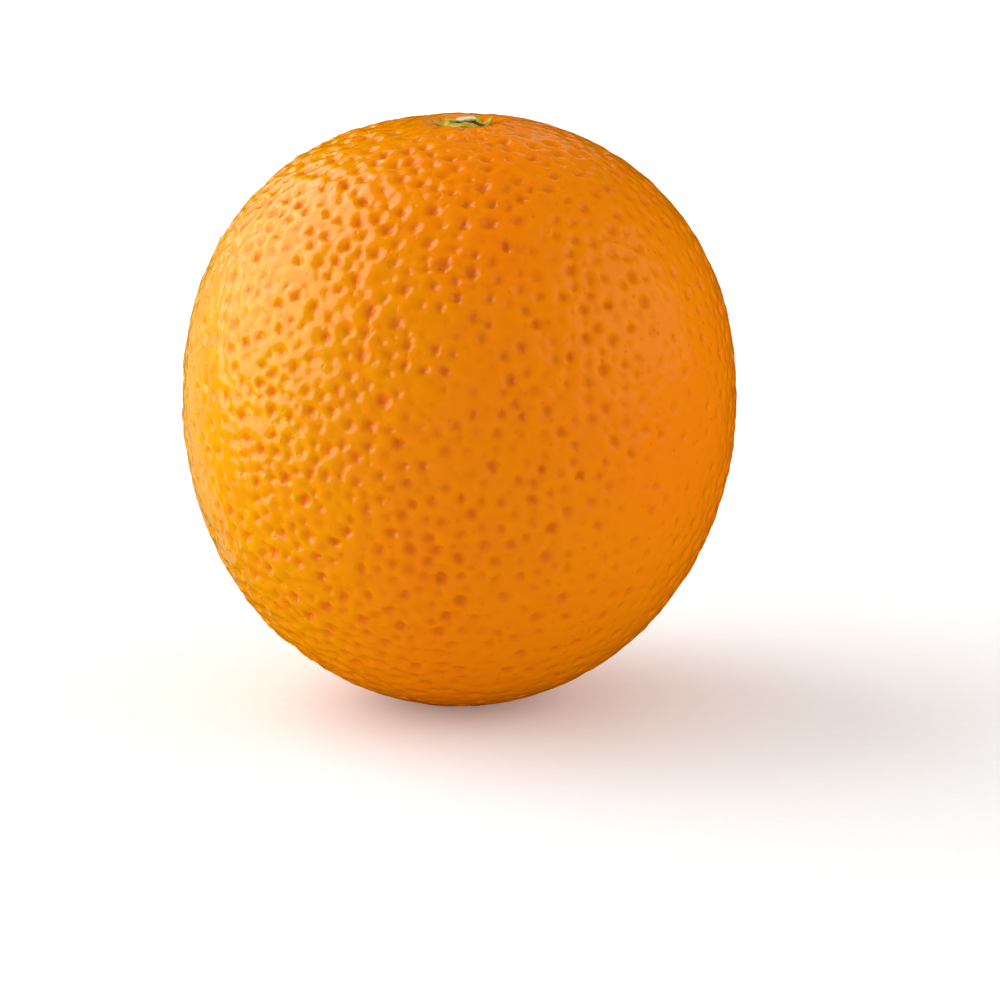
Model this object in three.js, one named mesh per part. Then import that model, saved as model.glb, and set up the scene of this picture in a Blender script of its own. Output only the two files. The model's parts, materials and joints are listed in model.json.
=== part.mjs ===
// A whole sweet orange standing on its blossom end, stalk end up.
// Millimetres, +Z up along the core, origin at the middle of the small flat spot that it rests on.
import * as THREE from "three";

// The body of the fruit.
const fruitWidth = 76; // along X, at the belly
const fruitDepth = 75.6; // along Y, at the belly
const fruitHeight = 81; // resting spot to the top of the dome, before the stalk cavity is sunk
const bellyHeight = 41; // resting spot to the widest level
const restRadius = 6.5; // flat spot that the fruit stands on
const shoulderFullness = 2.25; // superellipse exponent above the belly: 2 is an ellipse, more is squarer
const baseFullness = 2; // the same below the belly
const lobeCount = 3; // the body is very slightly three-sided
const lobeHeight = 0.15; // how far a side stands out

// The stalk cavity, and the soft furrows that run out from it.
const cavityRadius = 6.2;
const cavityDepth = 2;
const furrowCount = 9;
const furrowDepth = 0.3;
const furrowPeak = 8.5; // distance from the core where they are deepest
const furrowReach = 19; // distance from the core where they have died out
const stalkShift = 1.1; // the stalk grew this far to the +X side of the core
const shiftReach = 20; // distance from the core where the rind no longer follows that shift

// The stub of the stalk, cut across where the fruit was picked.
const stubRadius = 1.45;
const stubFlare = 0.15; // how much wider its foot is
const stubEdge = 0.2; // rounding of its cut face
const stubProud = 0.35; // how far the cut face stands above the lip of the cavity

// The calyx, the green star left on the fruit, with a raised ring round the stub.
const sepalCount = 5;
const sepalReach = 1.3; // how far a sepal's tip lies outside the notches between the sepals
const sepalTaper = 1.5; // more makes the sepals narrower
const notchMargin = 0.4; // how far the notches lie outside the ring
const ringWall = 0.6; // width of the ring
const ringStep = 0.1; // width of the slope at its inner side
const calyxRim = 0.85; // thickness at the ring
const calyxTip = 0.45; // thickness at a sepal's tip
const calyxFloor = 0.4; // least thickness under the stub

const seatGap = 0.3; // clearance between two pieces that touch
const aroundFruit = 72; // facets round the core
const aroundCalyx = 60;
const aroundStub = 24;

const fruitRadius = fruitWidth / 2;
const flatness = fruitDepth / fruitWidth;
const ringInner = stubRadius + stubFlare + seatGap;
const ringOuter = ringInner + ringWall;
const notchRadius = ringOuter + notchMargin;
const calyxRadius = notchRadius + sepalReach;

function clamp01(x) {
  return Math.min(Math.max(x, 0), 1);
}

// The dome above the belly with the cavity sunk into it: height at a distance from the core.
function crownHeight(distance) {
  const share = (distance / fruitRadius) ** shoulderFullness;
  const dome = (fruitHeight - bellyHeight) * (1 - share) ** (1 / shoulderFullness);
  const inCavity = clamp01(distance / cavityRadius);
  return bellyHeight + dome - cavityDepth * (1 - inCavity ** 2) ** 2;
}

// The underside is an ellipse that the resting spot cuts off where it is restRadius wide.
function baseHeight(distance) {
  const whole = bellyHeight / (1 - (restRadius / fruitRadius) ** baseFullness) ** (1 / baseFullness);
  const share = (distance / fruitRadius) ** baseFullness;
  return bellyHeight - whole * Math.max(1 - share, 0) ** (1 / baseFullness);
}

// Distance from the core before the body is made flatter along Y, which is what its heights go by.
function roundDistance(x, y) {
  return Math.hypot(x, y / flatness);
}

// Depth of the furrows at a place on the crown, none inside the calyx and none past their reach.
function furrowAt(distance, angle) {
  const rise = clamp01((distance - calyxRadius) / (furrowPeak - calyxRadius));
  const fall = clamp01((furrowReach - distance) / (furrowReach - furrowPeak));
  const along = Math.min(rise, fall);
  const across = (1 + Math.cos(furrowCount * angle)) / 2;
  return furrowDepth * along ** 2 * (3 - 2 * along) * across ** 2;
}

// How far the crown is drawn over to the stalk's side, at a distance from its middle.
function shiftAt(distance) {
  return stalkShift * (1 - clamp01(distance / shiftReach) ** 2) ** 2;
}

// Turns a lathe's solid, which stands along Y, so that it stands along Z.
function stand(geometry) {
  return geometry.rotateX(Math.PI / 2);
}

// Moves each vertex to where place(x, y, z) says, and works the normals out again.
function reshape(geometry, place) {
  const position = geometry.getAttribute("position");
  for (let i = 0; i < position.count; i++) {
    position.setXYZ(i, ...place(position.getX(i), position.getY(i), position.getZ(i)));
  }
  geometry.computeVertexNormals();
  return geometry;
}

function fruitProfile() {
  const points = [new THREE.Vector2(0, 0), new THREE.Vector2(restRadius, 0)];
  const restAngle = Math.asin(restRadius / fruitRadius);
  const stepsBelow = 16;
  for (let i = 1; i <= stepsBelow; i++) {
    const angle = restAngle + ((Math.PI / 2 - restAngle) * i) / stepsBelow;
    const distance = fruitRadius * Math.sin(angle);
    points.push(new THREE.Vector2(distance, baseHeight(distance)));
  }
  // Above the belly the rings follow the dome by angle, then close in over the crown and the cavity.
  const crownEdge = 2 * cavityRadius;
  const crownAngle = Math.asin(crownEdge / fruitRadius);
  const stepsAbove = 14;
  for (let i = 1; i <= stepsAbove; i++) {
    const angle = Math.PI / 2 - ((Math.PI / 2 - crownAngle) * i) / stepsAbove;
    const distance = fruitRadius * Math.sin(angle);
    points.push(new THREE.Vector2(distance, crownHeight(distance)));
  }
  const stepsIn = 10;
  for (let i = 1; i <= stepsIn; i++) {
    const distance = crownEdge * (1 - i / stepsIn);
    points.push(new THREE.Vector2(distance, crownHeight(distance)));
  }
  return points;
}

function makeFruit() {
  const geometry = stand(new THREE.LatheGeometry(fruitProfile(), aroundFruit));
  reshape(geometry, (x, y, z) => {
    const distance = Math.hypot(x, y);
    const angle = Math.atan2(y, x);
    const outward = (distance / fruitRadius) ** 2;
    const lobe = 1 + (lobeHeight / fruitRadius) * Math.cos(lobeCount * angle) * outward;
    const onCrown = z > bellyHeight;
    const sunk = onCrown ? furrowAt(distance, angle) : 0;
    const shift = onCrown ? shiftAt(distance) : 0;
    return [x * lobe + shift, y * lobe * flatness, z - sunk];
  });
  const rind = new THREE.MeshStandardMaterial({ color: 0xf08c14, roughness: 0.38, metalness: 0 });
  const fruit = new THREE.Mesh(geometry, rind);
  fruit.name = "fruit";
  return fruit;
}

// Height of the calyx's flat floor, on which the stub stands: it clears the cavity all round.
function floorHeight() {
  const highest = Math.max(roundDistance(ringInner, 0), roundDistance(0, ringInner));
  return crownHeight(highest) + seatGap + calyxFloor;
}

// The calyx lies in the cavity. Its lathe is a plain disc whose lower side is at -1 and upper side at 1,
// and reshape lays both sides along the cavity and draws the edge out into sepals.
function makeCalyx() {
  const rings = [0, ringInner - ringStep, ringInner, ringOuter, notchRadius];
  const lower = rings.map((ring) => new THREE.Vector2(ring, -1));
  const upper = rings.map((ring) => new THREE.Vector2(ring, 1)).reverse();
  const geometry = stand(new THREE.LatheGeometry([...lower, ...upper], aroundCalyx));
  reshape(geometry, (discX, discY, side) => {
    const ring = Math.hypot(discX, discY);
    const angle = Math.atan2(discY, discX);
    const lobe = ((1 + Math.cos(sepalCount * angle)) / 2) ** sepalTaper;
    // Only what lies outside the raised ring is drawn out, so the ring stays round.
    const outside = clamp01((ring - ringOuter) / notchMargin);
    const distance = ring + sepalReach * lobe * outside;
    const x = distance * Math.cos(angle);
    const y = distance * Math.sin(angle);
    const under = crownHeight(roundDistance(x, y)) + seatGap;
    const inFloor = ring < ringInner - ringStep / 2;
    const over = inFloor ? floorHeight() : under + THREE.MathUtils.lerp(calyxRim, calyxTip, outside);
    return [x + shiftAt(distance), y, side > 0 ? over : under];
  });
  const sepal = new THREE.MeshStandardMaterial({ color: 0x8ca03a, roughness: 0.6, metalness: 0 });
  const calyx = new THREE.Mesh(geometry, sepal);
  calyx.name = "calyx";
  return calyx;
}

function makeStemStub() {
  const foot = floorHeight() + seatGap;
  const top = crownHeight(cavityRadius) + stubProud;
  const height = top - foot;
  const profile = [
    new THREE.Vector2(0, 0),
    new THREE.Vector2(stubRadius + stubFlare, 0),
    new THREE.Vector2(stubRadius, height - stubEdge),
    new THREE.Vector2(stubRadius - stubEdge, height),
    new THREE.Vector2(0, height),
  ];
  const geometry = stand(new THREE.LatheGeometry(profile, aroundStub));
  const bark = new THREE.MeshStandardMaterial({ color: 0xd9cba0, roughness: 0.85, metalness: 0 });
  const stub = new THREE.Mesh(geometry, bark);
  stub.name = "stem_stub";
  stub.position.set(stalkShift, 0, foot);
  return stub;
}

const orange = new THREE.Group();
orange.add(makeFruit(), makeCalyx(), makeStemStub());

export default orange;
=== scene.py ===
import bpy
import bmesh
import json
import math
import random
from mathutils import Matrix, Vector, kdtree, noise
from mathutils.bvhtree import BVHTree

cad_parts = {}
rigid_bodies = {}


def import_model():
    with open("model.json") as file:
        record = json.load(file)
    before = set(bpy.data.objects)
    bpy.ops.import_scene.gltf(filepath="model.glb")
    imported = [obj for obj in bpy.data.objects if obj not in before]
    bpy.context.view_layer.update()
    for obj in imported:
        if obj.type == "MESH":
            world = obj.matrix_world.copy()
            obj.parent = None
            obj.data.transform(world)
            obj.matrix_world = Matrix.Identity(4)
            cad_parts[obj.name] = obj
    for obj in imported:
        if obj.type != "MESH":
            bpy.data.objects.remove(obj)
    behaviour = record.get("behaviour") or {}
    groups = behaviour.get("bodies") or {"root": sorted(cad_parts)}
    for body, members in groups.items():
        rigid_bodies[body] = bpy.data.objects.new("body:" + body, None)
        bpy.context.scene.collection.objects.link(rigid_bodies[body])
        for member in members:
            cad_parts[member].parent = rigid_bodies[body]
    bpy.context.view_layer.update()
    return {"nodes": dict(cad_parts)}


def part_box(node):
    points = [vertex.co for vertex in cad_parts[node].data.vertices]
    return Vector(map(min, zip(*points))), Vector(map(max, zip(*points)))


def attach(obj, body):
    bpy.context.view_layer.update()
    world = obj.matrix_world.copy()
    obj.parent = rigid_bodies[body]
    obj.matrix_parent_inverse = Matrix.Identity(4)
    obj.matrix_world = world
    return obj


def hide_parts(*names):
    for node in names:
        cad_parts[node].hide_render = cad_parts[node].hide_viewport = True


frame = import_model()
print("frame loaded:", ", ".join(sorted(frame["nodes"])))

mm = 0.001  # metres in a millimetre

# a colour Mix node's sockets go by number, because its other sockets have the same names
mixShare = 0
mixFirst = 6
mixSecond = 7
mixed = 2
colourMix = {"data_type": "RGBA"}
colourTint = {"data_type": "RGBA", "blend_type": "MULTIPLY"}
smoothRange = {"interpolation_type": "SMOOTHSTEP"}


def clamp01(value):
    return min(max(value, 0.0), 1.0)


def mix(a, b, share):
    return a + (b - a) * share


def ease(low, high, value):
    # 0 below low, 1 above high, and a soft step between them
    share = clamp01((value - low) / (high - low))
    return share * share * (3 - 2 * share)


def waves(place, shift=(0, 0, 0)):
    # smooth noise, about -1 to 1; the shift keeps two patterns from looking alike
    return noise.noise(place + Vector(shift))


def wavesAround(angle, count, third):
    # the same along a circle, so that it closes on itself
    return noise.noise(Vector((math.cos(angle) * count, math.sin(angle) * count, third)))


def linear(hexColour):
    # sRGB hex to the linear colour that a shader takes
    parts = [int(hexColour[i:i + 2], 16) / 255 for i in (0, 2, 4)]
    made = [c / 12.92 if c <= 0.04045 else ((c + 0.055) / 1.055) ** 2.4 for c in parts]
    return (*made, 1.0)


def addNode(material, kind, settings=None, links=None):
    # links: input name or number -> a value, or the socket that feeds it
    node = material.node_tree.nodes.new("ShaderNode" + kind)
    for name, value in (settings or {}).items():
        setattr(node, name, value)
    for name, value in (links or {}).items():
        if isinstance(value, bpy.types.NodeSocket):
            material.node_tree.links.new(value, node.inputs[name])
        else:
            node.inputs[name].default_value = value
    return node


def newMaterial(name):
    material = bpy.data.materials.new(name)
    material.use_nodes = True
    material.node_tree.nodes.clear()
    return material


def spinRound(bm, steps, gap):
    # turns a half section once round Z, closes its seam and its poles and faces it outwards
    bmesh.ops.spin(bm, geom=bm.verts[:] + bm.edges[:], cent=(0, 0, 0), axis=(0, 0, 1),
                   angle=2 * math.pi, steps=steps, use_merge=True)
    bmesh.ops.remove_doubles(bm, verts=bm.verts[:], dist=gap)
    bmesh.ops.recalc_face_normals(bm, faces=bm.faces[:])


def startSection(points):
    bm = bmesh.new()
    chain = [bm.verts.new((x, 0, z)) for x, z in points]
    for a, b in zip(chain, chain[1:]):
        bm.edges.new((a, b))
    return bm


def finishPiece(bm, name, material, node):
    mesh = bpy.data.meshes.new(name)
    bm.normal_update()
    bm.to_mesh(mesh)
    bm.free()
    mesh.materials.append(material)
    for face in mesh.polygons:
        face.use_smooth = True
    piece = bpy.data.objects.new(name, mesh)
    bpy.context.scene.collection.objects.link(piece)
    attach(piece, "root")
    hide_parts(node)
    print(name, "made:", len(mesh.vertices), "vertices")


rind = {
    # the body
    "bellyHeight": 41 * mm,       # resting spot to the widest level
    "restRadius": 6.5 * mm,       # flat spot under the fruit
    "domeOverLip": 0.302 * mm,    # how much the dome would rise above the lip of the stalk cavity
    "shoulderFullness": 2.25,     # above the belly: 2 is an ellipse, more is squarer
    "baseFullness": 2.0,          # the same below the belly
    "lobeCount": 3,
    "lobeHeight": 0.15 * mm,
    "cavityRadius": 6.2 * mm,
    "cavityDepth": 2.0 * mm,
    "stalkShift": 1.1 * mm,       # the stalk grew a little to the right of the core
    "shiftReach": 20 * mm,
    # three sizes of oil gland: least spacing, how many, depth and radius of the dimple,
    # and how far round it the mesh is drawn in
    "seed": 7,
    "candidates": 60000,
    "glands": (
        {"spacing": 2.9 * mm, "count": 1100, "depth": 0.30 * mm, "radius": 0.88 * mm, "reach": 2.0 * mm},
        {"spacing": 2.05 * mm, "count": 1475, "depth": 0.20 * mm, "radius": 0.70 * mm, "reach": 1.6 * mm},
        {"spacing": 1.6 * mm, "count": 1420, "depth": 0.09 * mm, "radius": 0.50 * mm, "reach": 1.2 * mm},
    ),
    "depthVaries": (0.55, 1.25),  # each dimple's depth and radius differ by this from its size's
    "radiusVaries": (0.82, 1.2),
    "mostStretch": 0.35,          # 0 is round
    "smoothKeep": (0.55, 0.25, 0.1),    # share of each size's depth that is left on smooth skin
    "smoothRadius": 0.78,         # the same for the radius
    "faintShare": 0.18,           # share of the glands that lie deep in the skin and hardly show
    "faintKeep": 0.35,
    "cuts": 4,                    # each triangle between three glands becomes 25
    "pull": 0.60,                 # how far mesh rings are drawn in to a dimple
    "pullStart": 0.2 * mm,
    "dimpleWall": (0.30, 1.0),    # where a dimple's wall starts and ends, as shares of its radius
    "toneWall": (0.15, 1.2),      # the same for the gland's colour
    "toneDepth": 0.25 * mm,       # a dimple this deep has the full colour
    "skirt": 1.5 * mm,            # radius of the soft hollow round a dimple
    "skirtDepth": 0.34 * mm,
    "skirtFrom": 0.15 * mm,       # a dimple this deep has the full hollow
    "mostSkirt": 1.6,             # how far the hollows of neighbours add up
    "unevenSize": 0.9 * mm,       # dimples are not quite round
    "unevenness": 0.36 * mm,
    # the skin between the glands, smooth in some places and pebbled in others
    "roughSide": (-0.70, -0.60, 0.25),  # it is rough on this side
    "roughBack": (0.45, 0.85, -0.25),   # and a little less on this one
    "paintedLightSide": (-0.93, 0.05, 0.1),      # painted light: the colour is yellower on this side, where the key light falls
    "leastRough": 0.22,
    "patchiness": 0.35,
    "patchCount": 2.3,            # more makes the patches smaller
    "grooveSize": 3.4 * mm,       # grooves that link dimples and leave islands between them
    "grooveDepth": 0.07 * mm,
    "grooveWidth": 0.24,          # share of the groove pattern that lies low
    "pebbleSize": 5.0 * mm,
    "pebbleHeight": 0.11 * mm,
    "grainSize": 1.8 * mm,
    "grainHeight": 0.20 * mm,
    "ridgeSize": 1.5 * mm,        # low ridges across the lower part, from one to the next
    "ridgeLength": 3.2 * mm,
    "ridgeHeight": 0.14 * mm,
    "lumpSize": 24 * mm,
    "lumpHeight": 0.14 * mm,
    # the crown and the blossom end
    "foldCount": 27,              # fine folds running out from the stalk
    "broadFolds": 7,
    "foldTurn": 3.6,              # turns the broad folds, so that none notches the back of the crown
    "foldDepth": 0.22 * mm,
    "foldReach": 17 * mm,
    "lipRadius": 6.4 * mm,        # low swelling round the calyx
    "lipWidth": 1.5 * mm,
    "lipHeight": 0.16 * mm,
    "crownCalm": (6.5 * mm, 13 * mm),   # dimples are faint nearer the stalk than this, whole past that
    "crownKeep": 0.12,
    "scarRadius": 1.6 * mm,       # scar of the style at the blossom end
    "scarDepth": 0.35 * mm,
    # colours; the second colours of the skin and of the gland are painted light, yellower on the side the
    # key light falls on
    "skin": "e97d00",
    "paintedLitSkin": "dd9f00",
    "mottle": "e67600",
    "gland": "dc6c00",
    "paintedLitGland": "f27a00",
    "scar": "6e4116",
}
fruitLow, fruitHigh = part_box("fruit")
fruitRadius = (fruitHigh.x - fruitLow.x) / 2
flatness = (fruitHigh.y - fruitLow.y) / (fruitHigh.x - fruitLow.x)
domeRise = fruitHigh.z + rind["domeOverLip"] - rind["bellyHeight"]
baseDrop = rind["bellyHeight"] / math.sqrt(1 - (rind["restRadius"] / fruitRadius) ** 2)
meanRadius = (fruitRadius + domeRise) / 2


def cavityAt(distance):
    inside = clamp01(distance / rind["cavityRadius"])
    return rind["cavityDepth"] * (1 - inside ** 2) ** 2


def shiftAt(distance):
    return rind["stalkShift"] * (1 - clamp01(distance / rind["shiftReach"]) ** 2) ** 2


def bodyPoint(direction):
    # where a ray from the middle of the belly leaves the fruit
    across = math.hypot(direction.x, direction.y)
    above = direction.z > 0
    full = rind["shoulderFullness"] if above else rind["baseFullness"]
    tall = domeRise if above else baseDrop
    reach = ((across / fruitRadius) ** full + (abs(direction.z) / tall) ** full) ** (-1 / full)
    if not above:
        reach = min(reach, rind["bellyHeight"] / max(-direction.z, 1e-6))
    distance = reach * across
    height = rind["bellyHeight"] + reach * direction.z
    shift = 0.0
    if above:
        height -= cavityAt(distance)
        shift = shiftAt(distance)
    angle = math.atan2(direction.y, direction.x)
    lobe = rind["lobeHeight"] * math.cos(rind["lobeCount"] * angle) * (distance / fruitRadius) ** 2
    spread = reach * (1 + lobe / fruitRadius)
    return Vector((direction.x * spread + shift, direction.y * spread * flatness, height))


def throwGlands():
    # blue-noise places on a unit sphere, the widest spaced first
    random.seed(rind["seed"])
    candidates = []
    for _ in range(rind["candidates"]):
        z = random.uniform(-1, 1)
        angle = random.uniform(0, 2 * math.pi)
        across = math.sqrt(1 - z * z)
        candidates.append(Vector((across * math.cos(angle), across * math.sin(angle), z)))
    tree = kdtree.KDTree(len(candidates))
    for i, place in enumerate(candidates):
        tree.insert(place, i)
    tree.balance()
    thrown = []
    for kind, gland in enumerate(rind["glands"]):
        spacing = gland["spacing"] / meanRadius
        taken = set()
        for place, _ in thrown:
            taken.update(i for _, i, _ in tree.find_range(place, spacing))
        count = 0
        for i, place in enumerate(candidates):
            if count == gland["count"]:
                break
            if i not in taken:
                thrown.append((place, kind))
                count += 1
                taken.update(j for _, j, _ in tree.find_range(place, spacing))
        print("  glands of size", kind, ":", count)
    return thrown


def calmLeft(direction):
    # 1 along the left side, where the skin is pebbled less
    return ease(0.62, 0.95, -direction.x)


def coarseness(direction):
    # 0 where the skin is smooth, 1 where it is strongly pebbled
    facing = direction.dot(Vector(rind["roughSide"]))
    behind = direction.dot(Vector(rind["roughBack"]))
    strong = max(ease(-0.12, 0.47, facing), 0.85 * ease(0.0, 0.9, behind))
    patch = rind["patchiness"] * waves(direction * rind["patchCount"], (4.1, 0.7, 9.3))
    return clamp01(mix(rind["leastRough"], 1, strong) + patch - 0.5 * calmLeft(direction))


def shapeDimples(glands):
    # each dimple's depth and radius, the direction that it is stretched in, and how much
    random.seed(rind["seed"] + 1)
    dimples = []
    for place, kind in glands:
        gland = rind["glands"][kind]
        coarse = coarseness(place)
        depth = gland["depth"] * random.uniform(*rind["depthVaries"])
        radius = gland["radius"] * random.uniform(*rind["radiusVaries"])
        radius *= mix(rind["smoothRadius"], 1, coarse)
        depth *= mix(rind["smoothKeep"][kind], 1, coarse) * (1 - 0.4 * calmLeft(place))
        if random.random() < rind["faintShare"]:
            depth *= rind["faintKeep"]
        if place.z > 0.8:         # on the crown
            fromStalk = math.hypot(place.x, place.y) * fruitRadius
            depth *= mix(rind["crownKeep"], 1, ease(*rind["crownCalm"], fromStalk))
        turn = random.uniform(0, math.pi)
        side = Vector((-place.y, place.x, 0)).normalized()
        along = side * math.cos(turn) + place.cross(side) * math.sin(turn)
        stretch = random.uniform(0.0, rind["mostStretch"])
        dimples.append((depth, radius, along, stretch))
    return dimples


def dimpleRelief(direction, place, coarse, tree, dimples):
    # depth of the dimples and of the soft hollows round them, and how deep the gland's colour is
    depthHere = 0.0
    tone = 0.0
    skirt = 0.0
    uneven = rind["unevenness"] * waves(place / rind["unevenSize"], (3, 3, 7))
    for centre, i, _ in tree.find_range(direction, rind["skirt"] / meanRadius):
        depth, radius, along, stretch = dimples[i]
        offset = (direction - centre) * meanRadius
        gap = math.sqrt(max(offset.length_squared - offset.dot(along) ** 2 * stretch, 0))
        share = (gap + uneven) / radius
        depthHere += depth * (1 - ease(*rind["dimpleWall"], share))
        tone += depth / rind["toneDepth"] * (1 - ease(*rind["toneWall"], share))
        outer = clamp01(1 - (offset.length / rind["skirt"]) ** 2)
        skirt += outer ** 2 * min(depth / rind["skirtFrom"], 1.0)
    depthHere += rind["skirtDepth"] * mix(0.05, 1, coarse) * min(skirt, rind["mostSkirt"])
    return depthHere, tone


def skinRelief(direction, place, coarse):
    # pebbles, grain and ridges stand up and grooves lie low, each over its own size of wave;
    # pebbles and grain have a second, flattened wave over the first, so that they run sideways
    p = place / rind["pebbleSize"]
    pebble = waves(p) + 0.6 * waves(Vector((p.x * 1.2, p.y * 1.2, p.z * 2.6)), (5, 5, 5))
    g = place / rind["grainSize"]
    grain = waves(g) + 0.7 * waves(Vector((g.x * 0.8, g.y * 0.8, g.z * 1.9)), (9, 2, 4))
    r = place / rind["ridgeLength"]
    ridge = waves(Vector((r.x, r.y, place.z / rind["ridgeSize"])), (6, 1, 2))
    ridge *= 1 - ease(-0.35, 0.15, direction.z)
    groove = math.exp(-(waves(place / rind["grooveSize"], (1, 6, 3)) / rind["grooveWidth"]) ** 2)
    lump = waves(place / rind["lumpSize"], (2, 8, 1))
    return (rind["pebbleHeight"] * mix(0.35, 1, coarse) * pebble
            + rind["grainHeight"] * mix(0.15, 1, coarse) * grain
            + rind["ridgeHeight"] * mix(0.1, 1, coarse) * ridge
            - rind["grooveDepth"] * mix(0.1, 1, coarse) * groove
            + rind["lumpHeight"] * lump)


def crownRelief(place):
    # a low lip round the calyx, and folds that start under its edge and die out down the shoulder
    x = place.x - rind["stalkShift"]
    distance = math.hypot(x, place.y)
    angle = math.atan2(place.y, x)
    back = math.sin(angle)
    along = ease(2.5 * mm, 6.5 * mm, distance) * (1 - ease(7 * mm, rind["foldReach"], distance))
    wander = 2.2 * wavesAround(angle, 2.5, distance / (9 * mm))
    fine = 0.5 + 0.5 * math.cos(rind["foldCount"] * angle + wander * 2)
    broad = 0.5 + 0.5 * math.cos(rind["broadFolds"] * angle + rind["foldTurn"] + wander)
    patch = (0.6 + 0.8 * wavesAround(angle, 1.7, 3.3)) * mix(1, 0.4, ease(0.2, 1, back))
    fold = rind["foldDepth"] * along * patch * (fine ** 2 + 1.6 * broad ** 3)
    ring = math.exp(-((distance - rind["lipRadius"]) / rind["lipWidth"]) ** 2)
    uneven = (0.75 + 0.6 * wavesAround(angle, 1.6, 7.7)) * mix(1, 0.3, ease(0.1, 0.9, back))
    return rind["lipHeight"] * ring * uneven - fold


def makeRind(material):
    glands = throwGlands()
    dimples = shapeDimples(glands)
    tree = kdtree.KDTree(len(glands))
    for i, (place, _) in enumerate(glands):
        tree.insert(place, i)
    tree.balance()

    # a skin over the glands, so that each dimple has a vertex in its middle
    bm = bmesh.new()
    for place, _ in glands:
        bm.verts.new(place)
    bmesh.ops.convex_hull(bm, input=bm.verts[:])
    bmesh.ops.recalc_face_normals(bm, faces=bm.faces[:])
    bmesh.ops.subdivide_edges(bm, edges=bm.edges[:], cuts=rind["cuts"], use_grid_fill=True)
    bmesh.ops.triangulate(bm, faces=[f for f in bm.faces if len(f.verts) > 3])
    # mesh rings are drawn in to their gland, so that the dimple is round and crisp
    for vert in bm.verts:
        direction = vert.co.normalized()
        centre, i, gap = tree.find(direction)
        gap *= meanRadius
        if gap > 1e-7:
            reach = rind["glands"][glands[i][1]]["reach"]
            share = mix(rind["pull"], 1, ease(rind["pullStart"], reach, gap))
            direction = (centre + (direction - centre) * share).normalized()
        vert.co = direction
    directions = [vert.co.copy() for vert in bm.verts]
    for vert in bm.verts:
        vert.co = bodyPoint(vert.co)
    bm.normal_update()
    print("rind laid over the body:", len(bm.verts), "vertices")

    toneLayer = bm.verts.layers.float.new("glandTone")
    scarLayer = bm.verts.layers.float.new("scarTone")
    paintedLightLayer = bm.verts.layers.float.new("paintedLightTone")
    moves = []
    for vert, direction in zip(bm.verts, directions):
        coarse = coarseness(direction)
        sunk, tone = dimpleRelief(direction, vert.co, coarse, tree, dimples)
        rise = skinRelief(direction, vert.co, coarse) - sunk
        if direction.z > 0.5:     # crown and shoulder
            rise += crownRelief(vert.co)
        scar = 0.0
        if direction.z < -0.9:    # blossom end
            scar = 1 - ease(0.35, 1.15, math.hypot(vert.co.x, vert.co.y) / rind["scarRadius"])
            rise -= rind["scarDepth"] * scar
        vert[toneLayer] = min(tone, 1.4)
        vert[scarLayer] = scar
        # painted light: how far this spot faces the lit side, which is coloured yellower
        vert[paintedLightLayer] = ease(-0.15, 0.95, direction.dot(Vector(rind["paintedLightSide"])))
        moves.append(vert.normal * rise)
    for vert, move in zip(bm.verts, moves):
        vert.co += move
        vert.co.z = max(vert.co.z, 0.0)
    rindTree = BVHTree.FromBMesh(bm)
    finishPiece(bm, "rind", material, "fruit")
    return rindTree


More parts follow.
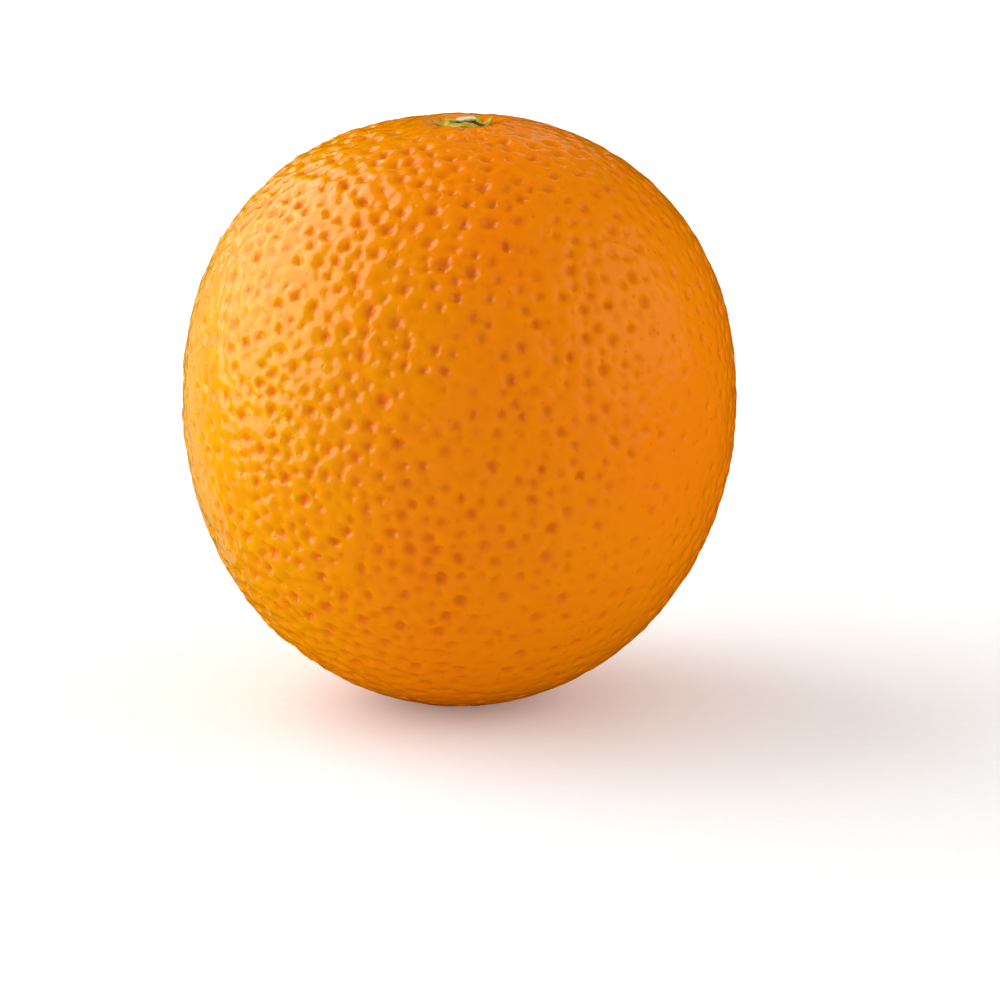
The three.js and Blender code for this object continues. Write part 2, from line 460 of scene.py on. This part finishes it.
def makeRindMaterial():
    # Citrus flavedo, grown and lightly waxed: a clear, slightly soft gloss over a deep orange
    # that turns redder and darker in the oil glands, with light spreading just under the skin.
    material = newMaterial("waxed orange flavedo")
    place = addNode(material, "TexCoord").outputs["Object"]
    gland = addNode(material, "Attribute", {"attribute_name": "glandTone"}).outputs["Fac"]
    scar = addNode(material, "Attribute", {"attribute_name": "scarTone"}).outputs["Fac"]
    paintedLight = addNode(material, "Attribute", {"attribute_name": "paintedLightTone"}).outputs["Fac"]

    # painted light: yellower on the lit side, and across a random drift 28 mm wide, with a mottle of 3 mm
    drift = addNode(material, "TexNoise", {}, {"Vector": place, "Scale": 1 / (28 * mm), "Detail": 2.0})
    mottle = addNode(material, "TexNoise", {}, {"Vector": place, "Scale": 1 / (3.2 * mm), "Detail": 3.0})
    driftAndPaintedLight = addNode(material, "Math", {"operation": "MULTIPLY_ADD"}, {
        0: drift.outputs["Fac"], 1: 0.5, 2: paintedLight})
    driftAndLightShare = addNode(material, "MapRange", {}, {
        "Value": driftAndPaintedLight.outputs[0], "From Min": 0.15, "From Max": 1.25})
    skin = addNode(material, "Mix", colourMix, {
        mixShare: driftAndLightShare.outputs[0],
        mixFirst: linear(rind["skin"]),
        mixSecond: linear(rind["paintedLitSkin"])})
    mottleShare = addNode(material, "MapRange", {}, {
        "Value": mottle.outputs["Fac"], "From Min": 0.4, "From Max": 0.7, "To Min": 0.0, "To Max": 0.35})
    mottled = addNode(material, "Mix", colourMix, {
        mixShare: mottleShare.outputs[0],
        mixFirst: skin.outputs[mixed],
        mixSecond: linear(rind["mottle"])})
    # painted light: the glands too are coloured lighter and yellower on the lit side
    oil = addNode(material, "Mix", colourMix, {
        mixShare: driftAndLightShare.outputs[0],
        mixFirst: linear(rind["gland"]),
        mixSecond: linear(rind["paintedLitGland"])})
    oilShare = addNode(material, "MapRange", {}, {
        "Value": gland, "From Min": 0.1, "From Max": 1.05, "To Min": 0.0, "To Max": 0.85})
    inGland = addNode(material, "Mix", colourMix, {
        mixShare: oilShare.outputs[0],
        mixFirst: mottled.outputs[mixed],
        mixSecond: oil.outputs[mixed]})

    # pores: the smallest glands, about 1.1 mm apart, most of them too faint to see
    cells = addNode(material, "TexVoronoi", {"feature": "F1"}, {
        "Vector": place, "Scale": 1 / (1.1 * mm)})
    hollow = addNode(material, "MapRange", smoothRange, {
        "Value": cells.outputs["Distance"],
        "From Min": 0.04, "From Max": 0.30, "To Min": 1.0, "To Max": 0.0})
    chance = addNode(material, "SeparateColor", {}, {"Color": cells.outputs["Color"]})
    plain = addNode(material, "MapRange", {}, {
        "Value": chance.outputs["Red"], "From Min": 0.45, "From Max": 1.0})
    pore = addNode(material, "Math", {"operation": "MULTIPLY"}, {
        0: hollow.outputs[0], 1: plain.outputs[0]})
    poreShare = addNode(material, "Math", {"operation": "MULTIPLY"}, {0: pore.outputs[0], 1: 0.5})
    poreTint = (0.94, 0.56, 0.2, 1.0)
    inPore = addNode(material, "Mix", colourTint, {
        mixShare: poreShare.outputs[0],
        mixFirst: inGland.outputs[mixed],
        mixSecond: poreTint})
    onScar = addNode(material, "Mix", colourMix, {
        mixShare: scar,
        mixFirst: inPore.outputs[mixed],
        mixSecond: linear(rind["scar"])})

    # the walls of the big glands are steeper than the mesh can show them, and grain lies over all
    wall = addNode(material, "Bump", {"invert": True}, {
        "Height": gland, "Strength": 1.0, "Distance": 0.13 * mm})
    grain = addNode(material, "TexNoise", {}, {"Vector": place, "Scale": 1 / (0.5 * mm), "Detail": 3.0})
    poreDepth = addNode(material, "Math", {"operation": "MULTIPLY_ADD"}, {
        0: grain.outputs["Fac"], 1: 0.25, 2: pore.outputs[0]})
    fine = addNode(material, "Bump", {"invert": True}, {
        "Height": poreDepth.outputs[0], "Strength": 0.8, "Distance": 0.12 * mm,
        "Normal": wall.outputs[0]})

    # creases that run out from the stalk, about 50 round it, each a few millimetres long
    fromCore = addNode(material, "VectorMath", {"operation": "SUBTRACT"}, {
        0: place, 1: (rind["stalkShift"], 0, 0)})
    fromStalk = addNode(material, "VectorMath", {"operation": "MULTIPLY"}, {
        0: fromCore.outputs[0], 1: (1, 1, 0)})
    distance = addNode(material, "VectorMath", {"operation": "LENGTH"}, {0: fromStalk.outputs[0]})
    outward = addNode(material, "VectorMath", {"operation": "NORMALIZE"}, {0: fromStalk.outputs[0]})
    around = addNode(material, "VectorMath", {"operation": "MULTIPLY"}, {
        0: outward.outputs[0], 1: (8, 8, 0)})
    lengths = addNode(material, "Math", {"operation": "DIVIDE"}, {
        0: distance.outputs["Value"], 1: 1.8 * mm})
    along = addNode(material, "CombineXYZ", {}, {"Z": lengths.outputs[0]})
    stretched = addNode(material, "VectorMath", {"operation": "ADD"}, {
        0: around.outputs[0], 1: along.outputs[0]})
    crease = addNode(material, "TexNoise", {}, {
        "Vector": stretched.outputs[0], "Scale": 1.0, "Detail": 2.0})
    near = addNode(material, "MapRange", smoothRange, {
        "Value": distance.outputs["Value"],
        "From Min": 6 * mm, "From Max": 16 * mm, "To Min": 1.0, "To Max": 0.0})
    height = addNode(material, "SeparateXYZ", {}, {"Vector": place})
    onCrown = addNode(material, "MapRange", {}, {
        "Value": height.outputs["Z"], "From Min": 70 * mm, "From Max": 75 * mm})
    creased = addNode(material, "Math", {"operation": "MULTIPLY"}, {
        0: near.outputs[0], 1: onCrown.outputs[0]})
    creaseHeight = addNode(material, "Math", {"operation": "MULTIPLY"}, {
        0: crease.outputs["Fac"], 1: creased.outputs[0]})
    bump = addNode(material, "Bump", {}, {
        "Height": creaseHeight.outputs[0], "Strength": 0.8, "Distance": 0.5 * mm,
        "Normal": fine.outputs[0]})

    # the wax lies thin in the glands, which are dull beside the skin round them
    wax = addNode(material, "MapRange", {}, {
        "Value": mottle.outputs["Fac"], "From Min": 0.3, "From Max": 0.7, "To Min": 0.12, "To Max": 0.19})
    dull = addNode(material, "MapRange", {}, {
        "Value": gland, "From Min": 0.3, "From Max": 1.0, "To Min": 0.0, "To Max": 0.08})
    rough = addNode(material, "Math", {"operation": "ADD"}, {0: wax.outputs[0], 1: dull.outputs[0]})
    shader = addNode(material, "BsdfPrincipled", {}, {
        "Base Color": onScar.outputs[mixed],
        "Roughness": rough.outputs[0],
        "IOR": 1.46,
        "Specular IOR Level": 0.38,
        "Subsurface Weight": 0.5,
        "Subsurface Radius": (1.0, 0.42, 0.10),
        "Subsurface Scale": 1.8 * mm,
        "Normal": bump.outputs[0]})
    addNode(material, "OutputMaterial", {}, {"Surface": shader.outputs[0]})
    return material


rindTree = makeRind(makeRindMaterial())


def rindHeight(x, y):
    hit = rindTree.ray_cast(Vector((x, y, fruitHigh.z + 5 * mm)), Vector((0, 0, -1)))[0]
    return hit.z


stubLow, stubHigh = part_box("stem_stub")
stalk = {
    "flare": 0.15 * mm,           # how much wider the foot is than the cut, in the frame
    "around": 64,
    "sunk": 0.1 * mm,             # from the rind up to the foot
    "rim": 0.12 * mm,             # rounding of the cut edge
    "waist": 0.16 * mm,           # how much the stub has shrunk under its cut face
    "barkRing": 0.09 * mm,        # depth of the ring between bark and wood
    "pith": 0.12 * mm,            # depth of the hollow in the middle
    "raggedness": 0.14,
    "fibreHeight": 0.03 * mm,
    "tilt": 0.06,                 # slope of the cut
    "topSpare": 0.06 * mm,        # nothing stands higher than this above the cut
    "pale": "cdb685",
    "palest": "f2e4c2",
    "fleck": "9a8252",
    "stain": "a07c44",
    # the side's dark brown: partly bark, partly painted shade under the cut
    "bark": "4a3818",
}
stalkPlace = Vector(((stubLow.x + stubHigh.x) / 2, (stubLow.y + stubHigh.y) / 2, 0))
stubRadius = (stubHigh.x - stubLow.x) / 2 - stalk["flare"]


def makeStalkEnd(material):
    r = stubRadius
    top = stubHigh.z
    foot = rindHeight(stalkPlace.x, stalkPlace.y) + stalk["sunk"]
    # half section, from under the foot out and up to the middle of the cut face
    bm = startSection([
        (0, foot), (r * 0.6, foot), (r * 0.96, foot + 0.1 * mm),
        (r - stalk["waist"], mix(foot, top, 0.45)),
        (r - 0.05 * mm, top - 2.0 * stalk["rim"]), (r, top - stalk["rim"]),
        (r - 0.06 * mm, top - 0.03 * mm), (r - 0.18 * mm, top), (r * 0.78, top - 0.01 * mm),
        (r * 0.70, top - stalk["barkRing"]), (r * 0.62, top - 0.02 * mm), (r * 0.5, top),
        (r * 0.36, top - 0.01 * mm), (r * 0.24, top - 0.03 * mm), (r * 0.12, top - 0.10 * mm),
        (0, top - stalk["pith"]),
    ])
    spinRound(bm, stalk["around"], 1e-7)

    cutLayer = bm.verts.layers.float.new("cutTone")
    for vert in bm.verts:
        angle = math.atan2(vert.co.y, vert.co.x)
        around = Vector((math.cos(angle), math.sin(angle), 0))
        ragged = waves(around * 1.6, (2, 5, 1)) + 0.5 * waves(around * 5, (7, 1, 3))
        spread = 1 + stalk["raggedness"] * ragged
        x = vert.co.x * spread
        y = vert.co.y * spread
        share = clamp01((vert.co.z - foot) / (top - foot))
        fibre = waves(Vector((x, y, 0)) / (0.35 * mm)) * stalk["fibreHeight"] * share
        z = vert.co.z + fibre + stalk["tilt"] * x * share ** 2
        vert.co = Vector((x, y, min(z, top + stalk["topSpare"]))) + stalkPlace
        vert[cutLayer] = share
    finishPiece(bm, "stalk_end", material, "stem_stub")


def makeStalkMaterial():
    # Cut and dried stalk: fibrous pale straw on the cut, with fine rings and brown stains,
    # and dark brown down its side, partly bark and partly painted shade under the cut. Dead matt.
    material = newMaterial("dried cut stalk")
    place = addNode(material, "TexCoord").outputs["Object"]
    cut = addNode(material, "Attribute", {"attribute_name": "cutTone"}).outputs["Fac"]
    centred = addNode(material, "Mapping", {}, {
        "Vector": place, "Location": (-stalkPlace.x, -stalkPlace.y, 0)})
    flat = addNode(material, "VectorMath", {"operation": "MULTIPLY"}, {
        0: centred.outputs[0], 1: (1, 1, 0)})
    across = addNode(material, "VectorMath", {"operation": "LENGTH"}, {0: flat.outputs[0]})
    rings = addNode(material, "TexNoise", {"noise_dimensions": "1D"}, {
        "W": across.outputs["Value"], "Scale": 1 / (0.22 * mm), "Detail": 2.0})
    fibre = addNode(material, "TexNoise", {}, {"Vector": place, "Scale": 1 / (0.16 * mm), "Detail": 3.0})
    stain = addNode(material, "TexNoise", {}, {"Vector": place, "Scale": 1 / (0.9 * mm), "Detail": 2.0})
    pale = addNode(material, "Mix", colourMix, {
        mixShare: rings.outputs["Fac"],
        mixFirst: linear(stalk["pale"]),
        mixSecond: linear(stalk["palest"])})
    fleckShare = addNode(material, "MapRange", {}, {
        "Value": fibre.outputs["Fac"], "From Min": 0.58, "From Max": 0.72, "To Min": 0.0, "To Max": 0.7})
    flecked = addNode(material, "Mix", colourMix, {
        mixShare: fleckShare.outputs[0],
        mixFirst: pale.outputs[mixed],
        mixSecond: linear(stalk["fleck"])})
    stainShare = addNode(material, "MapRange", {}, {
        "Value": stain.outputs["Fac"], "From Min": 0.48, "From Max": 0.62, "To Min": 0.0, "To Max": 0.7})
    stained = addNode(material, "Mix", colourMix, {
        mixShare: stainShare.outputs[0],
        mixFirst: flecked.outputs[mixed],
        mixSecond: linear(stalk["stain"])})
    # below the cut the stalk is dark brown: partly bark, partly painted shade
    cutShare = addNode(material, "MapRange", {}, {"Value": cut, "From Min": 0.80, "From Max": 0.93})
    withBarkAndShade = addNode(material, "Mix", colourMix, {
        mixShare: cutShare.outputs[0],
        mixFirst: linear(stalk["bark"]),
        mixSecond: stained.outputs[mixed]})
    bump = addNode(material, "Bump", {}, {
        "Height": fibre.outputs["Fac"], "Strength": 0.7, "Distance": 0.05 * mm})
    shader = addNode(material, "BsdfPrincipled", {}, {
        "Base Color": withBarkAndShade.outputs[mixed],
        "Roughness": 0.85,
        "IOR": 1.5,
        "Normal": bump.outputs[0]})
    addNode(material, "OutputMaterial", {}, {"Surface": shader.outputs[0]})
    return material


calyx = {
    "around": 150,
    "gapLeft": 0.12 * mm,         # from the stub to the ring, least on the left, most at the right front
    "gapRight": 0.65 * mm,
    "ringCrest": 2.35 * mm,
    "ringOuter": 2.85 * mm,
    "ringSpread": 0.55 * mm,      # how far past the ring its outer slope runs
    "ringShare": 0.74,            # share of the disc that the ring takes
    "crestHeight": stubHigh.z - 0.14 * mm,
    "backDrop": 0.45 * mm,        # the ring is lower behind
    "floorThickness": 0.25 * mm,
    "brokenAt": 5,                # the ring has withered away on this side, in degrees
    "brokenWidth": 62,
    # each sepal: direction, length past the ring, half width in degrees, thickness and lift of its tip,
    # and how it curls up: from its root when curl is under 1, only near its tip when it is more
    "sepals": (
        {"at": 7, "length": 0.80 * mm, "half": 36, "thick": 0.40 * mm, "lift": 0.95 * mm, "curl": 0.8},
        {"at": 78, "length": 1.30 * mm, "half": 35, "thick": 0.40 * mm, "lift": 0.12 * mm, "curl": 1.8},
        {"at": 141, "length": 1.15 * mm, "half": 33, "thick": 0.36 * mm, "lift": 0.22 * mm, "curl": 1.8},
        {"at": 188, "length": 1.45 * mm, "half": 38, "thick": 0.42 * mm, "lift": 0.20 * mm, "curl": 1.6},
        {"at": 258, "length": 1.10 * mm, "half": 37, "thick": 0.45 * mm, "lift": 0.26 * mm, "curl": 1.8},
    ),
    "notch": 0.15 * mm,           # least width of the blade, between two sepals
    "lobeEdge": 1.35,             # less makes the sepals more pointed
    "lean": 0.10,                 # how far the tips lean sideways
    "ribHeight": 0.10 * mm,
    "waviness": 0.10 * mm,
    "sunk": 0.03 * mm,            # the underside lies this deep in the rind
    "edge": 0.06 * mm,            # thickness at the very edge
    "green": "98900e",
    "straw": "cdb02c",
    "dried": "b08a34",
    "fleck": "6d5a1c",
    # painted shade: the dark brown laid in the ring's hollow round the stub
    "hollow": "4e3c18",
}


def turnBetween(angle, at):
    # smallest turn from one direction to another, in degrees
    return (math.degrees(angle) - at + 180) % 360 - 180


def sepalAt(angle):
    # the sepal that reaches furthest out here, and how far we are from its midrib, 1 at its edge
    found = (0.0, 1.0, calyx["sepals"][0])
    for sepal in calyx["sepals"]:
        share = abs(turnBetween(angle, sepal["at"])) / sepal["half"]
        if share < 1:
            reach = sepal["length"] * (1 - share ** calyx["lobeEdge"])
            if reach > found[0]:
                found = (reach, share, sepal)
    return found


def brokenAway(angle):
    return math.exp(-(turnBetween(angle, calyx["brokenAt"]) / calyx["brokenWidth"]) ** 4)


def crestAt(angle):
    # share of the ring's full height: a low stump is left of its broken part, higher at the back
    stump = 0.08 + 0.4 * clamp01(math.sin(angle) + 0.1)
    return clamp01(mix(0.95, stump, brokenAway(angle)) + 0.14 * wavesAround(angle, 2.1, 4.4))


def ringInner(angle):
    toRight = 0.5 + 0.5 * math.cos(angle - math.radians(calyx["brokenAt"]))
    return stubRadius + mix(calyx["gapLeft"], calyx["gapRight"], toRight)


def makeSepals(material):
    # half a section of a flat disc, from the core to the edge, whose z tells its two sides apart
    under = [0, 0.35, 0.6, 0.8, 1.0]
    over = [0.97, 0.92, 0.86, 0.80, 0.74, 0.69, 0.64, 0.58, 0.52, 0.45, 0.30, 0]
    bm = startSection([(x, -1) for x in under] + [(x, 1) for x in over])
    spinRound(bm, calyx["around"], 1e-6)

    dryLayer = bm.verts.layers.float.new("dryTone")
    paintedShadeLayer = bm.verts.layers.float.new("paintedShadeTone")
    for vert in bm.verts:
        share = min(math.hypot(vert.co.x, vert.co.y), 1.0)
        angle = math.atan2(vert.co.y, vert.co.x)
        onTop = vert.co.z > 0
        reach, across, sepal = sepalAt(angle)
        out = clamp01((share - calyx["ringShare"]) / (1 - calyx["ringShare"]))
        if share <= calyx["ringShare"]:
            distance = calyx["ringOuter"] * share / calyx["ringShare"]
        else:
            distance = calyx["ringOuter"] + (reach + calyx["notch"]) * out
        lean = calyx["lean"] * out ** 2 * math.sin(2.3 * sepal["at"])
        x = stalkPlace.x + distance * math.cos(angle + lean)
        y = stalkPlace.y + distance * math.sin(angle + lean)
        bed = rindHeight(x, y)
        lift = sepal["lift"] * out ** sepal["curl"] * (1 - across ** 2)
        behind = max(clamp01(math.sin(angle) + 0.3), 0.5 * clamp01(-math.cos(angle)))
        floor = bed + calyx["floorThickness"]
        crest = mix(floor, calyx["crestHeight"] - calyx["backDrop"] * behind, crestAt(angle))
        inner = ringInner(angle)
        if distance <= calyx["ringCrest"]:
            top = mix(floor, crest, ease(inner, calyx["ringCrest"], distance))
        else:
            down = ease(calyx["ringCrest"], calyx["ringOuter"] + calyx["ringSpread"], distance)
            blade = bed + lift + sepal["thick"] * (1 - 0.5 * out) * (1 - 0.5 * across ** 2)
            rib = calyx["ribHeight"] * math.exp(-(across / 0.25) ** 2) * (1 - out)
            top = mix(crest, blade + rib, down)
        p = Vector((x, y, top))
        wave = waves(p / (0.9 * mm)) + 0.5 * waves(p / (0.4 * mm))
        top += calyx["waviness"] * wave * ease(inner * 0.8, calyx["ringCrest"], distance)
        below = bed - calyx["sunk"] + lift * 0.9
        height = mix(top, below + calyx["edge"], ease(0.9, 1.0, out)) if onTop else below
        vert.co = Vector((x, y, height))
        # dry at the tips; painted shade, dark brown, in the ring's hollow
        dry = 0.9 * ease(0.55, 1.0, out) + 0.25 * ease(0.6, 1.0, across) * out
        vert[dryLayer] = clamp01(dry + 0.5 * waves(p / (1.3 * mm), (3, 1, 8)))
        # painted shade: the ring's hollow is coloured dark, out to its broken side
        shadeEdge = mix(calyx["ringCrest"] - 0.1 * mm, calyx["ringOuter"], brokenAway(angle))
        shadeStart = mix(inner, shadeEdge, 0.6 * brokenAway(angle))
        vert[paintedShadeLayer] = 1 - ease(shadeStart, shadeEdge, distance)
    finishPiece(bm, "sepals", material, "calyx")


def makeSepalMaterial():
    # Drying calyx of a citrus fruit, thick and leathery: matt yellow-green with fine flecks,
    # straw coloured where it has dried and brown at the tips, with painted shade, dark brown, in the
    # ring's hollow.
    material = newMaterial("drying calyx tissue")
    place = addNode(material, "TexCoord").outputs["Object"]
    dry = addNode(material, "Attribute", {"attribute_name": "dryTone"}).outputs["Fac"]
    paintedShade = addNode(material, "Attribute", {"attribute_name": "paintedShadeTone"}).outputs["Fac"]
    blotch = addNode(material, "TexNoise", {}, {"Vector": place, "Scale": 1 / (0.9 * mm), "Detail": 3.0})
    fleck = addNode(material, "TexNoise", {}, {"Vector": place, "Scale": 1 / (0.25 * mm), "Detail": 2.0})
    strawShare = addNode(material, "MapRange", {}, {
        "Value": blotch.outputs["Fac"], "From Min": 0.38, "From Max": 0.62})
    green = addNode(material, "Mix", colourMix, {
        mixShare: strawShare.outputs[0],
        mixFirst: linear(calyx["green"]),
        mixSecond: linear(calyx["straw"])})
    dryShare = addNode(material, "MapRange", {}, {
        "Value": dry, "From Min": 0.55, "From Max": 1.1, "To Min": 0.0, "To Max": 0.8})
    dried = addNode(material, "Mix", colourMix, {
        mixShare: dryShare.outputs[0],
        mixFirst: green.outputs[mixed],
        mixSecond: linear(calyx["dried"])})
    fleckShare = addNode(material, "MapRange", {}, {
        "Value": fleck.outputs["Fac"], "From Min": 0.6, "From Max": 0.75, "To Min": 0.0, "To Max": 0.5})
    flecked = addNode(material, "Mix", colourMix, {
        mixShare: fleckShare.outputs[0],
        mixFirst: dried.outputs[mixed],
        mixSecond: linear(calyx["fleck"])})
    # painted shade: the ring's hollow is coloured dark brown
    hollow = addNode(material, "Mix", colourMix, {
        mixShare: paintedShade,
        mixFirst: flecked.outputs[mixed],
        mixSecond: linear(calyx["hollow"])})
    bump = addNode(material, "Bump", {}, {
        "Height": fleck.outputs["Fac"], "Strength": 0.6, "Distance": 0.06 * mm})
    shader = addNode(material, "BsdfPrincipled", {}, {
        "Base Color": hollow.outputs[mixed],
        "Roughness": 0.55,
        "IOR": 1.45,
        "Specular IOR Level": 0.2,
        "Subsurface Weight": 0.15,
        "Subsurface Radius": (0.6, 0.8, 0.2),
        "Subsurface Scale": 0.4 * mm,
        "Normal": bump.outputs[0]})
    addNode(material, "OutputMaterial", {}, {"Surface": shader.outputs[0]})
    return material


makeSepals(makeSepalMaterial())
makeStalkEnd(makeStalkMaterial())


studio = {
    "distance": 650 * mm,
    "elevation": 12.5,            # degrees
    "lens": 170.0,                # focal length and sensor width, in millimetres
    "sensor": 36,
    "aimRight": 5.7 * mm,         # the fruit stands left of the middle of the picture
    "aimHeight": 27.7 * mm,
    "floorRadius": 6.0,
    "floorGap": 0.05 * mm,        # from the fruit down to the paper
    "paper": ("e2e2e0", "e8e8e7"),
    "glow": (0.16, 0.6),          # the paper glows more away from the fruit, so that it stays white there
    "glowReach": (0.08, 0.7),
    "worldLight": 0.64,
    # each panel: direction from the fruit, distance, its long axis, width and length, and brightness;
    # all but the side fill also show as reflections in the wax
    "lamps": {
        "key softbox": {"toward": (-0.87, 0.13, 0.48), "away": 0.70, "tall": (0.37, 0.67, 0.65),
                        "size": (0.80, 1.20), "radiance": 2.65, "mirrored": True},
        "side fill": {"toward": (0.95, -0.15, 0.35), "away": 1.0, "tall": (0, 0, 1),
                      "size": (0.9, 0.9), "radiance": 1.3, "mirrored": False},
        "right wall": {"toward": (0.90, -0.10, 0.38), "away": 1.1, "tall": (0, 0, 1),
                       "size": (1.1, 0.9), "radiance": 0.36, "mirrored": True},
        "rim panel": {"toward": (0.17, 0.86, 0.50), "away": 0.8, "tall": (0, 0, 1),
                      "size": (0.25, 0.18), "radiance": 0.5, "mirrored": True},
        "left wall": {"toward": (-0.62, 0.78, 0.0), "away": 0.9, "tall": (0, 0, 1),
                      "size": (0.5, 1.0), "radiance": 0.42, "mirrored": True},
    },
}
fruitMiddle = Vector((0, 0, (fruitLow.z + fruitHigh.z) / 2))


def makePaperMaterial():
    # Matt white paper that glows, and glows more away from the fruit, so that it stays plain and pale,
    # with a fibre drawn 2 mm coarse to show
    material = newMaterial("matt white paper")
    place = addNode(material, "TexCoord").outputs["Object"]
    fibre = addNode(material, "TexNoise", {}, {"Vector": place, "Scale": 1 / (2 * mm), "Detail": 2.0})
    tint = addNode(material, "Mix", colourMix, {
        mixShare: fibre.outputs["Fac"],
        mixFirst: linear(studio["paper"][0]),
        mixSecond: linear(studio["paper"][1])})
    away = addNode(material, "VectorMath", {"operation": "LENGTH"}, {0: place})
    glow = addNode(material, "MapRange", smoothRange, {
        "Value": away.outputs["Value"],
        "From Min": studio["glowReach"][0], "From Max": studio["glowReach"][1],
        "To Min": studio["glow"][0], "To Max": studio["glow"][1]})
    shader = addNode(material, "BsdfPrincipled", {}, {
        "Base Color": tint.outputs[mixed],
        "Roughness": 0.9,
        "Emission Color": (1, 1, 1, 1),
        "Emission Strength": glow.outputs[0]})
    addNode(material, "OutputMaterial", {}, {"Surface": shader.outputs[0]})
    return material


def makeFloor(material):
    bm = bmesh.new()
    bmesh.ops.create_circle(bm, cap_ends=True, radius=studio["floorRadius"], segments=64)
    bmesh.ops.translate(bm, verts=bm.verts[:], vec=(0, 0, -studio["floorGap"]))
    mesh = bpy.data.meshes.new("floor")
    bm.to_mesh(mesh)
    bm.free()
    mesh.materials.append(material)
    floor = bpy.data.objects.new("floor", mesh)
    bpy.context.scene.collection.objects.link(floor)
    floor.visible_glossy = False


def makeWorld():
    world = bpy.data.worlds.new("pale room")
    world.use_nodes = True
    background = world.node_tree.nodes["Background"]
    background.inputs["Color"].default_value = (1, 1, 1, 1)
    background.inputs["Strength"].default_value = studio["worldLight"]
    world.cycles_visibility.glossy = False
    bpy.context.scene.world = world
    bpy.context.scene.view_settings.view_transform = "Standard"


def makeLamps():
    for name, lamp in studio["lamps"].items():
        light = bpy.data.lights.new(name, "AREA")
        light.shape = "RECTANGLE"
        light.size, light.size_y = lamp["size"]
        light.energy = lamp["radiance"] * math.pi * light.size * light.size_y
        holder = bpy.data.objects.new(name, light)
        toward = Vector(lamp["toward"]).normalized()
        side = Vector(lamp["tall"]).cross(toward).normalized()
        turn = Matrix((side, toward.cross(side), toward)).transposed()
        holder.matrix_world = Matrix.Translation(fruitMiddle + toward * lamp["away"]) @ turn.to_4x4()
        holder.visible_camera = False
        holder.visible_glossy = lamp["mirrored"]
        bpy.context.scene.collection.objects.link(holder)


def makeCamera():
    camera = bpy.data.objects.new("camera", bpy.data.cameras.new("camera"))
    camera.data.lens = studio["lens"]
    camera.data.sensor_width = studio["sensor"]
    camera.data.clip_start = 10 * mm
    slope = math.radians(studio["elevation"])
    stand = fruitMiddle + Vector((0, -math.cos(slope), math.sin(slope))) * studio["distance"]
    aim = Vector((studio["aimRight"], 0, studio["aimHeight"]))
    turn = (aim - stand).to_track_quat("-Z", "Y")
    camera.matrix_world = Matrix.Translation(stand) @ turn.to_matrix().to_4x4()
    bpy.context.scene.collection.objects.link(camera)
    bpy.context.scene.camera = camera


makeFloor(makePaperMaterial())
makeWorld()
makeLamps()
makeCamera()
print("studio ready:", len(studio["lamps"]), "lamps")
